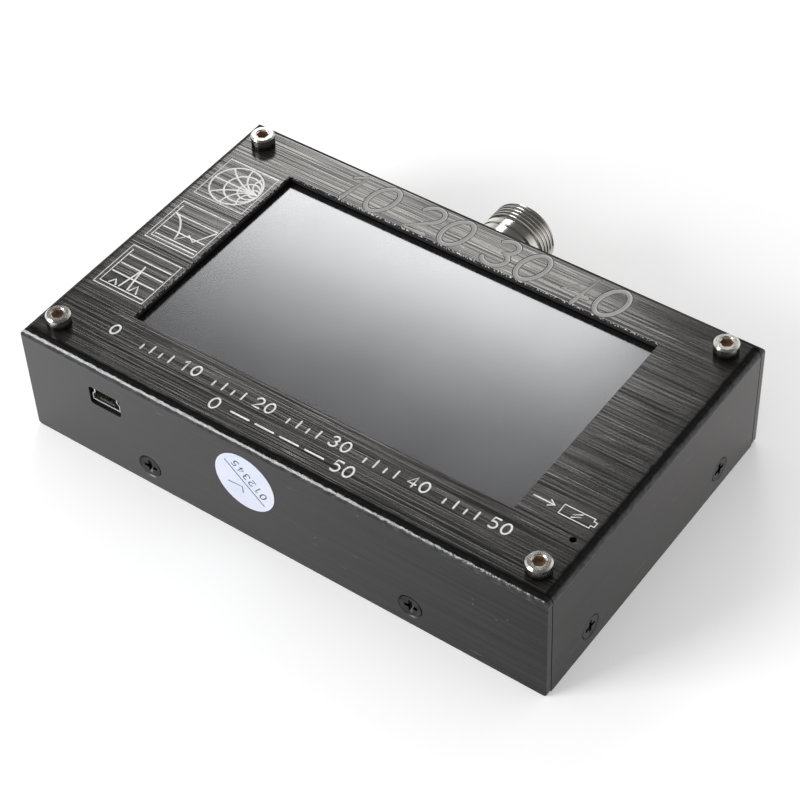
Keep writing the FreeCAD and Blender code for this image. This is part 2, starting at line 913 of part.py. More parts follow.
def lock_washer():
    """Toothed washer between the flange and the rear wall."""
    back = flange_front - half_width
    washer = tube(lock_washer_radius, port_radius + port_hole_play, from_port(back), from_port(-sheet))
    for tooth in range(lock_washer_teeth):
        notch = box(lock_washer_radius - lock_washer_notch, lock_washer_radius + over,
                    -over, lock_washer_depth + over, -lock_washer_notch / 2, lock_washer_notch / 2)
        notch.rotate(V(0, 0, 0), Y, 360 * tooth / lock_washer_teeth)
        notch.translate(from_port(back))
        washer = washer.cut(notch)
    return washer


# ---------------------------------------------------------------- rocker switch


def from_pivot(along, out, up=0):
    """A point from the rocker's axis: along the switch, out of the wall, and up."""
    return V(switch_x + along, pivot_y + out, switch_z + up)


def switch_housing():
    """Moulded housing with a rim outside the wall, barbs behind it and an open front."""
    half_x = switch_length / 2
    half_z = switch_height / 2
    rim_x = half_x + switch_rim_x
    rim_z = half_z + switch_rim_z
    body = box(switch_x - half_x, switch_x + half_x, switch_back, half_width + switch_rim_depth,
               switch_z - half_z, switch_z + half_z)
    rim = box(switch_x - rim_x, switch_x + rim_x, half_width, half_width + switch_rim_depth,
              switch_z - rim_z, switch_z + rim_z)
    body = body.fuse(rounded(rim, switch_rim_round, Y))
    for side in (-1, 1):
        start = V(switch_x + side * half_x, inner_y - barb_gap, switch_z - half_z / 2)
        points = [start, start + X * side * barb_reach, start - Y * barb_length]
        body = body.fuse(prism(points, Z * half_z))
    room_x = rocker_reach + rocker_play
    room_z = half_z - switch_side
    mouth = half_width + switch_rim_depth + over
    body = body.cut(box(switch_x - room_x, switch_x + room_x, switch_back + switch_floor, mouth,
                        switch_z - room_z, switch_z + room_z))
    bearing = trunnion_radius + trunnion_play
    deep = switch_height / 2 - switch_side + trunnion_length + trunnion_play
    body = body.cut(rod(bearing, from_pivot(0, 0, -deep), from_pivot(0, 0, deep)))
    for blade in switch_blades(blade_play):
        body = body.cut(blade)
    return body.removeSplitter()


def switch_rocker():
    """Rocker with its trunnions and the hollow leg that carries the plunger, at rest switched off."""
    half = switch_height / 2 - switch_side - rocker_side_play

    def on_arc(degrees, side):
        angle = math.radians(degrees)
        return from_pivot(side * rocker_reach * math.cos(angle), rocker_reach * math.sin(angle), -half)

    def end_arc(side):
        middle = (rocker_top_angle - rocker_skirt_angle) / 2
        return Part.Arc(on_arc(rocker_top_angle, side), on_arc(middle, side),
                        on_arc(-rocker_skirt_angle, side)).toShape()

    dip = from_pivot(0, rocker_dip, -half)
    tops = [on_arc(rocker_top_angle, -1), dip, on_arc(rocker_top_angle, 1)]
    lows = [on_arc(-rocker_skirt_angle, -1), on_arc(-rocker_skirt_angle, 1)]
    edges = [Part.makeLine(tops[0], tops[1]), Part.makeLine(tops[1], tops[2]), end_arc(1),
             Part.makeLine(lows[1], lows[0]), end_arc(-1)]
    body = Part.Face(Part.Wire(Part.__sortEdges__(edges))).extrude(Z * 2 * half)
    leg = box(switch_x - leg_half, switch_x + leg_half, pivot_y - leg_reach, pivot_y,
              switch_z - leg_half, switch_z + leg_half)
    body = body.fuse(leg)
    ends = switch_height / 2 - switch_side + trunnion_length
    body = body.fuse(rod(trunnion_radius, from_pivot(0, 0, -ends), from_pivot(0, 0, ends)))
    body = body.cut(rod(plunger_bore, from_pivot(0, -leg_reach - over), from_pivot(0, -spring_top)))
    return at_rest(body.removeSplitter())


def at_rest(piece):
    """A piece that rides on the rocker, turned from the middle to the off position."""
    return turned(piece, from_pivot(0, 0), -rocker_tilt)


def switch_plunger():
    tip = plunger_reach - plunger_radius
    pin = rod(plunger_radius, from_pivot(0, -tip), from_pivot(0, plunger_length - plunger_reach))
    return at_rest(pin.fuse(Part.makeSphere(plunger_radius, from_pivot(0, -tip))).removeSplitter())


def switch_spring():
    """Coil spring between the bore's end and the plunger."""
    length = plunger_reach - plunger_length - spring_top - 2 * spring_wire
    coil = Part.makeLongHelix(length / spring_turns, length, spring_radius)
    profile = Part.Wire(Part.makeCircle(spring_wire, V(spring_radius, 0, 0), Y))
    spring = Part.Wire(coil.Edges).makePipeShell([profile], True, True)
    bottom = from_pivot(0, plunger_length - plunger_reach)
    bottom.y = pivot_y - (plunger_reach - plunger_length) + spring_wire
    return at_rest(placed(spring, bottom, Y))


def switch_seesaw():
    """Contact strip that rocks on the middle blade."""
    strip = box(switch_x - seesaw_half, switch_x + seesaw_half, knife_y, knife_y + seesaw_depth,
                switch_z - seesaw_width / 2, switch_z + seesaw_width / 2)
    knife = V(switch_x, knife_y, 0)
    strip = strip.cut(rod(knife_radius + knife_play, knife, knife + Z * case_height))
    return turned(strip, V(switch_x, knife_y, 0), seesaw_tilt)


def switch_blades(play=0.0):
    """The middle blade, which the strip rocks on, and the end blade that it closes."""
    thin = knife_radius + play
    high = blade_width / 2 + play
    back = switch_back - blade_length
    middle = box(switch_x - thin, switch_x + thin, back, knife_y, switch_z - high, switch_z + high)
    knife = V(switch_x, knife_y, switch_z)
    middle = middle.fuse(rod(thin, knife - Z * high, knife + Z * high)).removeSplitter()
    drop = (end_blade_at + knife_radius) * math.tan(math.radians(seesaw_tilt))
    end_x = switch_x + end_blade_at
    end = box(end_x - thin, end_x + thin, back, knife_y - drop - blade_contact_gap,
              switch_z - high, switch_z + high)
    return [middle, end]


# ---------------------------------------------------------------- battery and leads


def battery():
    cell = slab(battery_x, battery_y, battery_length, battery_width, battery_bottom,
                battery_bottom + battery_depth)
    return rounded(cell, battery_corner, X)


def tape():
    margin = 2 * battery_tape_margin
    return slab(battery_x, battery_y, battery_length - margin, battery_width - margin, sheet, battery_bottom)


def lead(name, points):
    """A round lead along straight runs joined by tangent arcs as large as the runs allow."""
    edges = []
    start = points[0]
    for before, corner, after in zip(points, points[1:], points[2:]):
        incoming = corner - before
        outgoing = after - corner
        half_turn = incoming.getAngle(outgoing) / 2
        reach = arc_share * min(incoming.Length, outgoing.Length)
        incoming.normalize()
        outgoing.normalize()
        radius = reach / math.tan(half_turn)
        inward = (outgoing - incoming).normalize()
        middle = corner + inward * (radius / math.cos(half_turn) - radius)
        arc_start = corner - incoming * reach
        arc_end = corner + outgoing * reach
        edges.append(Part.makeLine(start, arc_start))
        edges.append(Part.Arc(arc_start, middle, arc_end).toShape())
        print(name, "arc radius", round(radius, 2))
        start = arc_end
    edges.append(Part.makeLine(start, points[-1]))
    path = Part.Wire(edges)
    section = Part.Wire(Part.makeCircle(lead_diameter / 2, points[0], points[1] - points[0]))
    solid = path.makePipeShell([section], True, False)
    expected = math.pi * lead_diameter ** 2 / 4 * path.Length
    print(name, "length", round(path.Length, 2), "volume ratio", round(solid.Volume / expected, 5))
    return solid


def battery_leads():
    """Two leads from the cell's end up to the plug."""
    low = battery_bottom + battery_depth / 2
    solids = []
    for side in (-1, 1):
        y = battery_y + side * lead_pitch / 2
        points = [V(lead_start, y, low), V(lead_start + lead_slope, y, low),
                  V(lead_end - lead_slope, y, plug_z), V(lead_end, y, plug_z)]
        solids.append(lead("battery lead", points))
    return solids


def plug_slab(x0, x1, margin):
    """The outline of the plug between two ends, grown by a margin."""
    half_y = plug_width / 2 + margin
    half_z = plug_depth / 2 + margin
    return box(x0, x1, battery_y - half_y, battery_y + half_y, plug_z - half_z, plug_z + half_z)


def battery_plug():
    return plug_slab(lead_end, lead_end + plug_length, 0)


def battery_socket():
    """Side-entry socket under the board, open towards the battery."""
    mouth = lead_end + plug_length - plug_seated
    back = mouth + battery_socket_length
    wall = plug_play + battery_socket_wall
    body = plug_slab(mouth, back, wall)
    half_y = plug_width / 2 + wall
    body = body.fuse(box(mouth, back, battery_y - half_y, battery_y + half_y, plug_z, board_bottom))
    return body.cut(plug_slab(mouth - over, mouth + plug_seated + plug_play, plug_play)).removeSplitter()


def switch_leads():
    """Two leads from the blades of the switch forward and up to the board."""
    back = switch_back - blade_length
    solids = []
    for x in (switch_x, switch_x + end_blade_at):
        front = back - switch_lead_run
        points = [V(x, back, switch_z), V(x, front, switch_z), V(x, front, board_bottom)]
        solids.append(lead("switch lead", points))
    return solids


# ---------------------------------------------------------------- the assembly

os.makedirs("parts", exist_ok=True)

save("top_cover", top_cover())
save("bottom_cover", bottom_cover())
save("clinch_nuts", *[placed(clinch_nut(), point, facing) for point, facing in edge_screws()])
save("wall_screws", *[placed(wall_screw(), point, facing) for point, facing in edge_screws()])
cap_screws, spacers, washers, nuts = corner_stack()
save("cap_screws", *cap_screws)
save("board_spacers", *spacers)
save("board_washers", *washers)
save("board_nuts", *nuts)
save("inspection_sticker", sticker())

save("window_gasket", window_gasket())
save("touch_panel", screen_slab(touch_margin, screen_top, touch_top))
save("lcd_frame", lcd_frame())
save("lcd_glass", lcd_glass())
save("light_guide", light_guide())
save("screen_ribbon", screen_ribbon())
save("ribbon_socket", ribbon_socket())
save("screen_pads", *screen_pads())

save("main_board", main_board())
save("charge_lamp", charge_lamp())
save("charge_lamp_legs", *charge_lamp_legs())
save("shield_can", shield_can())
processor, processor_pins = chip(processor_x, processor_y, processor_length, processor_width,
                                 processor_pitch, processor_pin_count)
save("processor", processor)
save("processor_pins", *processor_pins)
charger, charger_pins = chip(charger_x, charger_y, charger_length, charger_width,
                             charger_pitch, charger_pin_count)
save("charger_chip", charger)
save("charger_pins", *charger_pins)
save("capacitors", *capacitors())
save("power_coil", power_coil())
save("crystal", crystal())

save("usb_shell", usb_shell())
save("usb_tongue", usb_tongue())
save("usb_contacts", *usb_contacts())

save("port_body", port_body())
save("port_insulator", port_insulator())
save("port_contact", port_contact())
save("port_nut", port_nut())
save("port_lock_washer", lock_washer())

save("switch_housing", switch_housing())
save("switch_rocker", switch_rocker())
save("switch_plunger", switch_plunger())
save("switch_spring", switch_spring())
save("switch_seesaw", switch_seesaw())
save("switch_blades", *switch_blades())
switch_lead_solids = switch_leads()
save("switch_lead_supply", switch_lead_solids[0])
save("switch_lead_board", switch_lead_solids[1])

save("battery", battery())
save("battery_tape", tape())
battery_lead_solids = battery_leads()
save("battery_lead_black", battery_lead_solids[0])
save("battery_lead_red", battery_lead_solids[1])
save("battery_plug", battery_plug())
save("battery_socket", battery_socket())
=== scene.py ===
import json
import math

import bpy
from mathutils import Matrix, Vector


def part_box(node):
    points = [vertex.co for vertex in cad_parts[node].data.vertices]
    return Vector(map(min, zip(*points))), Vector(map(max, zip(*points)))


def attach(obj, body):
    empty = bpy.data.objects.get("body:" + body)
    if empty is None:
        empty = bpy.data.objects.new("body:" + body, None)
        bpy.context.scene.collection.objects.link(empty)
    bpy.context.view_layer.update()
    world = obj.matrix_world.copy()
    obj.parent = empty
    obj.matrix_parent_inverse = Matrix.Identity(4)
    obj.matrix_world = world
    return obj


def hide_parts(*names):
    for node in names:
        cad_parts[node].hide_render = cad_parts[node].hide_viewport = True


# Antenna analyzer: a folded, brushed and anodised case with engraved markings, a touch screen, a
# nickel-plated antenna port, stainless cap screws and a round paper sticker. Metres, in the CAD frame.

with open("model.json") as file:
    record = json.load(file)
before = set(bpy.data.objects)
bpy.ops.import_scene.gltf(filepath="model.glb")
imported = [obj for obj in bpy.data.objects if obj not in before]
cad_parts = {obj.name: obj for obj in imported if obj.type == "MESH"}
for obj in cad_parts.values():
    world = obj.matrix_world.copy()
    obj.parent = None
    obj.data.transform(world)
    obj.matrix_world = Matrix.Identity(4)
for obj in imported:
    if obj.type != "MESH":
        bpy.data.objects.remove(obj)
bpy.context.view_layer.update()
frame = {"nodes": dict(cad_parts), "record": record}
nodes = frame["nodes"]

MM = 0.001

# ---------------------------------------------------------------- sizes taken from the frame
case_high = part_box("top_cover")[1]
case_top = case_high.z
half_length = case_high.x
half_width = case_high.y
bend_outer = 1.7 * MM
screws_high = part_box("cap_screws")[1]
head_radius = 2.75 * MM
sticker_low, sticker_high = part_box("inspection_sticker")
sticker_centre = (sticker_low + sticker_high) / 2
sticker_radius = sticker_high.x - sticker_centre.x

# The screen's own area, inside its grey border
display_centre = (0.1 * MM, 1.0 * MM)
display_half_x = 47.5 * MM
display_half_y = 26.92 * MM
display_fade = 0.1 * MM

# The window's edges lie at least this far inside the case's ends and sides
window_from_end = 8 * MM
window_from_side = 4 * MM
window_depth = 2 * MM

# ---------------------------------------------------------------- markings, in millimetres
# X and Y are measured from the middle of the top. A groove is cut by a flattened tube whose axis lies
# a hair under the face.
tube_sink = 0.004
fine_depth = 0.07
scale_depth = 0.08
title_depth = 0.14
title_shadow_depth = 0.035

# Three icons at the left, each in its square. Their inner places are from the square's front left corner.
icon_left = -63.3
icon_size = 13.5
icon_fronts = (13.4, -3.75, -21.0)
icon_line = 0.33
curve_line = 0.43
chart_radius = icon_size * 0.455
chart_rings = (1.0, 0.7, 0.42, 0.2)
chart_reaches = (0.5, 1.0, 2.2)
ring_points = 40
axis_left = 0.95
axis_front = 1.05
axis_rear = 12.2
level_left = 1.4
graph_right = 13.0
sweep_levels = (2.0, 4.7, 9.4)
spectrum_levels = (4.8, 7.7, 10.6)
sweep_fall = ((1.2, 9.6), (2.6, 8.9), (3.8, 7.8), (4.8, 6.5), (5.5, 5.2), (6.0, 3.9), (6.3, 2.5))
sweep_rise = ((8.4, 5.2), (10.3, 4.0), (graph_right, 9.0))
spectrum_peaks = (((3.1, 1.6), (3.95, 3.0), (4.9, 1.6)), ((5.8, 1.7), (6.95, 8.2), (6.8, 9.3)),
                  ((6.95, 8.0), (8.1, 1.7)), ((8.6, 1.7), (9.5, 3.8), (10.5, 1.7)))

# Large numbers along the rear
title_line = 1.05
# The wider, shallow step round each number is coloured black as a painted shadow outline
title_shadow_line = 1.5
title_left = -38.0
title_step = 19.9
title_front = 30.1
title_height = 8.8

# A scale along the front, with four ticks after each number but the last
scale_line = 0.43
ruler_left = -50.3
ruler_step = 19.24
ruler_front = -31.3
ruler_height = 2.7
tick_left = 6.4
tick_step = 2.5
long_tick = ruler_height * 0.75
short_tick = ruler_height * 0.45

# Two numbers joined by dashes, below the scale
range_left = -19.4
range_right = 11.6
range_front = -36.5
range_height = 2.9
dash_lefts = (-14.2, -7.9, -1.6, 4.7)
dash_length = 4.6

# The charge sign beside the lamp
battery_left = 55.6
battery_right = 62.6
battery_front = -20.9
battery_height = 2.6
pole_half = 0.6
pole_length = 0.8
flash_x = (59.9, 58.2, 60.0, 58.3)
flash_margin = 0.45
flash_slope = 0.1
arrow_left = 49.2
arrow_right = 54.0
barb_length = 1.2
barb_half = 0.8

# The print on the sticker, from its centre
sticker_tilt = -137.3
print_radius = 0.16
print_flat = 0.3
divider_half = 6.4
tick_mark = ((-1.8, 2.9), (-0.6, 1.7), (1.9, 4.4))
number_left = -5.0
number_front = -3.15
number_height = 2.1


# ---------------------------------------------------------------- modelling helpers


def deselect():
    """Leaves nothing selected."""
    bpy.ops.object.select_all(action="DESELECT")


def alone(piece):
    """Selects one piece only and makes it active."""
    deselect()
    piece.select_set(True)
    bpy.context.view_layer.objects.active = piece


def settled(piece):
    """Moves a piece's place, turn and size into its mesh."""
    alone(piece)
    bpy.ops.object.transform_apply(location=True, rotation=True, scale=True)
    return piece


def joined(pieces, name):
    """Joins pieces into one under a new name."""
    deselect()
    for piece in pieces:
        piece.select_set(True)
    bpy.context.view_layer.objects.active = pieces[0]
    if len(pieces) > 1:
        bpy.ops.object.join()
    pieces[0].name = name
    pieces[0].data.name = name
    return pieces[0]


def painted(piece, material):
    """Gives a piece one material in place of those it has."""
    piece.data.materials.clear()
    piece.data.materials.append(material)
    return piece


def copied_node(node, name):
    """A copy of a CAD node's mesh with its loose triangles merged, as a new piece."""
    alone(nodes[node])
    bpy.ops.object.duplicate()
    piece = bpy.context.object
    for key in [key for key in piece.keys() if key.startswith("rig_")]:
        del piece[key]
    piece.name = name
    piece.data.name = name
    piece.parent = None
    alone(piece)
    bpy.ops.object.mode_set(mode="EDIT")
    bpy.ops.mesh.customdata_custom_splitnormals_clear()
    bpy.ops.mesh.select_all(action="SELECT")
    bpy.ops.mesh.remove_doubles(threshold=0.002 * MM)
    bpy.ops.mesh.dissolve_limited(angle_limit=math.radians(0.5))
    bpy.ops.object.mode_set(mode="OBJECT")
    return piece


def finished(piece, body, slot, *replaced):
    """Smooths a piece, gives it its body and hides the CAD nodes that it stands for. Its slot is not used."""
    alone(piece)
    bpy.ops.object.shade_smooth_by_angle(angle=math.radians(30))
    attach(piece, body)
    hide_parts(*replaced)


# ---------------------------------------------------------------- strokes of an engraver or a printer


def arc(x, y, radius_x, radius_y, start, end, steps=16):
    """Points along an ellipse between two angles in degrees."""
    angles = [math.radians(start + (end - start) * i / steps) for i in range(steps + 1)]
    return [(x + radius_x * math.cos(a), y + radius_y * math.sin(a)) for a in angles]


# Strokes of each digit, as shares of its height
digit_width = 0.66
DIGITS = {
    "0": [arc(0.32, 0.5, 0.32, 0.5, 90, 450, 28)],
    "1": [[(0.12, 0.8), (0.36, 1.0), (0.36, 0.0)]],
    "2": [arc(0.32, 0.7, 0.3, 0.3, 165, -38) + [(0.02, 0.0), (0.64, 0.0)]],
    "3": [arc(0.3, 0.76, 0.26, 0.24, 150, -80) + arc(0.3, 0.27, 0.31, 0.27, 78, -155)],
    "4": [[(0.48, 0.0), (0.48, 1.0), (0.0, 0.3), (0.66, 0.3)]],
    "5": [[(0.60, 1.0), (0.14, 1.0), (0.09, 0.56)] + arc(0.3, 0.32, 0.32, 0.32, 112, -128)],
}


def digits(text, x, y, height, width=1.0, slant=0.0, gap=0.32):
    """Strokes of a number whose first digit starts at x, with a gap given as a share of its height."""
    strokes = []
    for character in text:
        for points in DIGITS[character]:
            strokes.append([(x + height * (width * u + slant * v), y + height * v) for u, v in points])
        x += height * (width * digit_width + gap)
    return strokes


def rounded_ends(points, radius):
    """The points with two more past each end, where the tube narrows."""
    first, second = Vector(points[0]), Vector(points[1])
    last, before_last = Vector(points[-1]), Vector(points[-2])
    start = first + (first - second).normalized() * radius
    end = last + (last - before_last).normalized() * radius
    return [tuple(start), tuple((first + start) / 2)] + list(points) + [tuple((last + end) / 2), tuple(end)]


def stroke_tube(points, radius, height=0.0, flat=1.0, closed=False):
    """A tube along points on a level plane, flattened, with rounded ends unless it is closed."""
    if not closed:
        points = rounded_ends(points, radius)
    deselect()
    bpy.ops.curve.primitive_nurbs_path_add()
    line = bpy.context.object
    line.data.splines.clear()
    spline = line.data.splines.new("POLY")
    spline.points.add(len(points) - 1)
    for point, (x, y) in zip(spline.points, points):
        point.co = (x * MM, y * MM, 0, 1)
    if not closed:
        for index, share in ((0, 0.12), (1, 0.85), (-2, 0.85), (-1, 0.12)):
            spline.points[index].radius = share
    spline.use_cyclic_u = closed
    line.data.dimensions = "3D"
    line.data.bevel_depth = radius * MM
    line.data.bevel_resolution = 2
    line.data.use_fill_caps = True
    alone(line)
    bpy.ops.object.convert(target="MESH")
    bpy.ops.object.mode_set(mode="EDIT")
    bpy.ops.mesh.select_all(action="SELECT")
    bpy.ops.mesh.remove_doubles(threshold=0.001 * MM)
    bpy.ops.mesh.normals_make_consistent(inside=False)
    bpy.ops.object.mode_set(mode="OBJECT")
    tube = bpy.context.object
    tube.scale.z = flat
    tube.location.z = height * MM
    return settled(tube)


def groove_cutters(strokes, width, depth, closed=False):
    """Flattened tubes that cut grooves of a width and a depth into the top."""
    height = case_top / MM - tube_sink
    return [stroke_tube(points, width / 2, height, 2 * depth / width, closed) for points in strokes]


# ---------------------------------------------------------------- what is engraved or printed


def moved(points, x, y):
    """Points moved by x and y."""
    return [(x + u, y + v) for u, v in points]


def icon_square(x, y):
    """The outline of an icon's square."""
    return moved([(0, 0), (icon_size, 0), (icon_size, icon_size), (0, icon_size)], x, y)


def impedance_chart(x, y):
    """A circle chart: circles that touch at its right, and arcs that end there."""
    centre_x = x + icon_size / 2
    centre_y = y + icon_size / 2
    right = centre_x + chart_radius
    rings = []
    for share in chart_rings:
        ring = chart_radius * share
        rings.append(arc(right - ring, centre_y, ring, ring, 0, 360 - 360 / ring_points, ring_points - 1))
    arcs = [[(centre_x - chart_radius, centre_y), (right, centre_y)]]
    for reach in chart_reaches:
        radius = reach * chart_radius
        sweep = 2 * math.degrees(math.atan(1 / reach))
        for side in (-1, 1):
            arcs.append(arc(right, centre_y + side * radius, radius, radius,
                            -90 * side, -(90 + sweep) * side))
    return rings, arcs


def graph_lines(x, y, levels):
    """Two axes inside an icon's square and the level lines between them."""
    axes = [(axis_left, axis_rear), (axis_left, axis_front), (graph_right, axis_front)]
    lines = [[(level_left, level), (graph_right, level)] for level in levels]
    return [moved(points, x, y) for points in [axes] + lines]


def big_numbers():
    """Plain numbers along the rear of the top."""
    strokes = []
    x = title_left
    for text in ("10", "20", "30", "40"):
        strokes += digits(text, x, title_front, title_height, width=1.02, slant=0.16, gap=0.24)
        x += title_step
    return strokes


def ruler():
    """A scale of ticks with plain numbers along the front of the top."""
    strokes = []
    numbers = ("0", "10", "20", "30", "40", "50")
    for index, text in enumerate(numbers):
        x = ruler_left + ruler_step * index
        strokes += digits(text, x, ruler_front, ruler_height, width=1.05, gap=0.36)
        if text == numbers[-1]:
            break
        for tick in range(1, 5):
            tall = long_tick if tick % 2 == 0 else short_tick
            at = x + tick_left + tick_step * tick
            strokes.append([(at, ruler_front), (at, ruler_front + tall)])
    return strokes


def range_marks():
    """Two plain numbers joined by dashes, below the scale."""
    low = digits("0", range_left, range_front, range_height, width=1.05)
    high = digits("50", range_right, range_front, range_height, width=1.05)
    middle = range_front + range_height / 2
    return low + high + [[(x, middle), (x + dash_length, middle)] for x in dash_lefts]


def charge_sign():
    """A battery's outline, and a lightning flash in it with an arrow into it."""
    low, high = battery_front, battery_front + battery_height
    middle = (low + high) / 2
    pole = battery_right + pole_length
    outline = [(battery_left, low), (battery_right, low), (battery_right, middle - pole_half),
               (pole, middle - pole_half), (pole, middle + pole_half),
               (battery_right, middle + pole_half), (battery_right, high), (battery_left, high)]
    flash_y = (high - flash_margin, middle - flash_slope, middle + flash_slope, low + flash_margin)
    flash = list(zip(flash_x, flash_y))
    shaft = [(arrow_left, middle), (arrow_right, middle)]
    barb = arrow_right - barb_length
    head = [(barb, middle + barb_half), (arrow_right, middle), (barb, middle - barb_half)]
    return outline, [flash, shaft, head]


def sticker_print():
    """A dividing line with a tick mark on one side of it and a plain number on the other."""
    divider = [(-divider_half, 0.0), (divider_half, 0.0)]
    number = digits("012345", number_left, number_front, number_height, width=0.8, gap=0.33)
    return [divider, tick_mark] + number


def line_cutters():
    """The tubes that cut the fine markings."""
    chart_front, sweep_front, spectrum_front = icon_fronts
    squares = [icon_square(icon_left, front) for front in icon_fronts]
    rings, curves = impedance_chart(icon_left, chart_front)
    curves.append(moved(sweep_fall + sweep_rise, icon_left, sweep_front))
    curves += [moved(peak, icon_left, spectrum_front) for peak in spectrum_peaks]
    lines = graph_lines(icon_left, sweep_front, sweep_levels)
    lines += graph_lines(icon_left, spectrum_front, spectrum_levels)
    battery_outline, sign_lines = charge_sign()
    cutters = groove_cutters(squares, icon_line, fine_depth, closed=True)
    cutters += groove_cutters(rings, curve_line, fine_depth, closed=True)
    cutters += groove_cutters(curves, curve_line, fine_depth)
    cutters += groove_cutters(lines, icon_line, fine_depth)
    cutters += groove_cutters([battery_outline], icon_line, fine_depth, closed=True)
    cutters += groove_cutters(sign_lines, icon_line, fine_depth)
    cutters += groove_cutters(ruler() + range_marks(), scale_line, scale_depth)
    return cutters


def number_cutters():
    """The tubes that cut the large numbers, and those that cut a wider, shallow step round them, where a
    painted shadow outline goes.
    """
    numbers = big_numbers()
    return (groove_cutters(numbers, title_line, title_depth),
            groove_cutters(numbers, title_shadow_line, title_shadow_depth))


# ---------------------------------------------------------------- material helpers


def filled(tree, node, inputs):
    """Sets or links a node's inputs."""
    for name, value in inputs.items():
        if isinstance(value, bpy.types.NodeSocket):
            tree.links.new(value, node.inputs[name])
        else:
            node.inputs[name].default_value = value
    return node


def add(tree, kind, inputs=None, **settings):
    """Adds a node with its settings and its inputs."""
    node = tree.nodes.new(kind)
    for name, value in settings.items():
        setattr(node, name, value)
    return filled(tree, node, inputs or {})


def new_group(name, inputs, outputs):
    """A shader node group with float inputs, and outputs given as pairs of name and kind."""
    group = bpy.data.node_groups.new(name, "ShaderNodeTree")
    for label, value in inputs.items():
        socket = group.interface.new_socket(label, in_out="INPUT", socket_type="NodeSocketFloat")
        socket.default_value = value
    for label, kind in outputs.items():
        group.interface.new_socket(label, in_out="OUTPUT", socket_type="NodeSocket" + kind)
    return group, group.nodes.new("NodeGroupInput").outputs, group.nodes.new("NodeGroupOutput").inputs


def use(tree, group, **inputs):
    """Places a group in a material and gives its outputs."""
    node = tree.nodes.new("ShaderNodeGroup")
    node.node_tree = group
    return filled(tree, node, inputs).outputs


def new_material(name):
    """A material with only a Principled shader, and its tree and shader."""
    material = bpy.data.materials.new(name)
    material.use_nodes = True
    tree = material.node_tree
    shader = next(node for node in tree.nodes if node.type == "BSDF_PRINCIPLED")
    return material, tree, shader


def grey(value):
    """A grey colour."""
    return (value, value, value, 1)


def calc(tree, operation, first, second=0.0):
    """The result of one Math node."""
    return add(tree, "ShaderNodeMath", {0: first, 1: second}, operation=operation).outputs[0]


def times(tree, first, second):
    """Two values multiplied."""
    return calc(tree, "MULTIPLY", first, second)


def plus(tree, first, second):
    """Two values added."""
    return calc(tree, "ADD", first, second)


def minus(tree, first, second):
    """The second value taken from the first."""
    return calc(tree, "SUBTRACT", first, second)


def hypotenuse(tree, first, second):
    """The distance that two offsets at right angles make."""
    squares = plus(tree, calc(tree, "POWER", first, 2.0), calc(tree, "POWER", second, 2.0))
    return calc(tree, "SQRT", squares)


def between(tree, value, low, high, to_low=0.0, to_high=1.0):
    """A value mapped from one range to another, and held inside it."""
    node = add(tree, "ShaderNodeMapRange", {"Value": value, "From Min": low, "From Max": high,
                                            "To Min": to_low, "To Max": to_high})
    return node.outputs["Result"]


def blended(tree, factor, first, second):
    """A value that goes from the first to the second as the factor goes from 0 to 1."""
    return add(tree, "ShaderNodeMix", {"Factor": factor, "A": first, "B": second}).outputs["Result"]


def mixed(tree, factor, first, second):
    """A colour that goes from the first to the second as the factor goes from 0 to 1."""
    colour_a, colour_b, colour_out = 6, 7, 2
    node = add(tree, "ShaderNodeMix", {"Factor": factor, colour_a: first, colour_b: second},
               data_type="RGBA")
    return node.outputs[colour_out]


def noise(tree, vector, scale=1.0, detail=1.0, roughness=0.5):
    """A soft random pattern's value."""
    return add(tree, "ShaderNodeTexNoise", {"Vector": vector, "Scale": scale, "Detail": detail,
                                            "Roughness": roughness}).outputs["Fac"]


def bumped(tree, height, strength, distance):
    """The normal of a surface raised by a height."""
    return add(tree, "ShaderNodeBump", {"Strength": strength, "Distance": distance,
                                        "Height": height}).outputs["Normal"]


def split(tree, vector):
    """A vector's X, Y and Z."""
    return add(tree, "ShaderNodeSeparateXYZ", {0: vector}).outputs


def combined(tree, x, y, z):
    """A vector from its X, Y and Z."""
    return add(tree, "ShaderNodeCombineXYZ", {"X": x, "Y": y, "Z": z}).outputs[0]


def place(tree):
    """The point's place in the object."""
    return add(tree, "ShaderNodeTexCoord").outputs["Object"]


def facing(tree):
    """X, Y and Z of the direction in which the surface faces."""
    return split(tree, add(tree, "ShaderNodeNewGeometry").outputs["Normal"])


# A face is on an end wall where its normal's X is more than this
end_facing = 0.6


def stretched(tree, along, across):
    """The place with its grain along X, or along Y on the end walls."""
    end = calc(tree, "GREATER_THAN", calc(tree, "ABSOLUTE", facing(tree)["X"]), end_facing)
    at = split(tree, place(tree))
    run = blended(tree, end, at["X"], at["Y"])
    side = blended(tree, end, at["Y"], at["X"])
    return combined(tree, times(tree, run, along), times(tree, side, across), times(tree, at["Z"], across))


# ---------------------------------------------------------------- effects that several finishes share


def brushed_group():
    """Streaks left by brushing: long fine lines, broader bands behind them and a few bright ones."""
    tree, given, out = new_group("brushed", {"Along": 30.0, "Across": 3000.0},
                                 {"Streaks": "Float", "Glints": "Float"})
    along, across = given["Along"], given["Across"]
    lines = noise(tree, stretched(tree, along, across), roughness=0.6)
    bands = noise(tree, stretched(tree, times(tree, along, 1.4), times(tree, across, 0.35)))
    total = plus(tree, times(tree, lines, 0.9), times(tree, bands, 0.1))
    tree.links.new(between(tree, total, 0.36, 0.64), out["Streaks"])
    glints = noise(tree, stretched(tree, times(tree, along, 2.4), times(tree, across, 1.2)))
    tree.links.new(between(tree, glints, 0.62, 0.72), out["Glints"])
    return tree


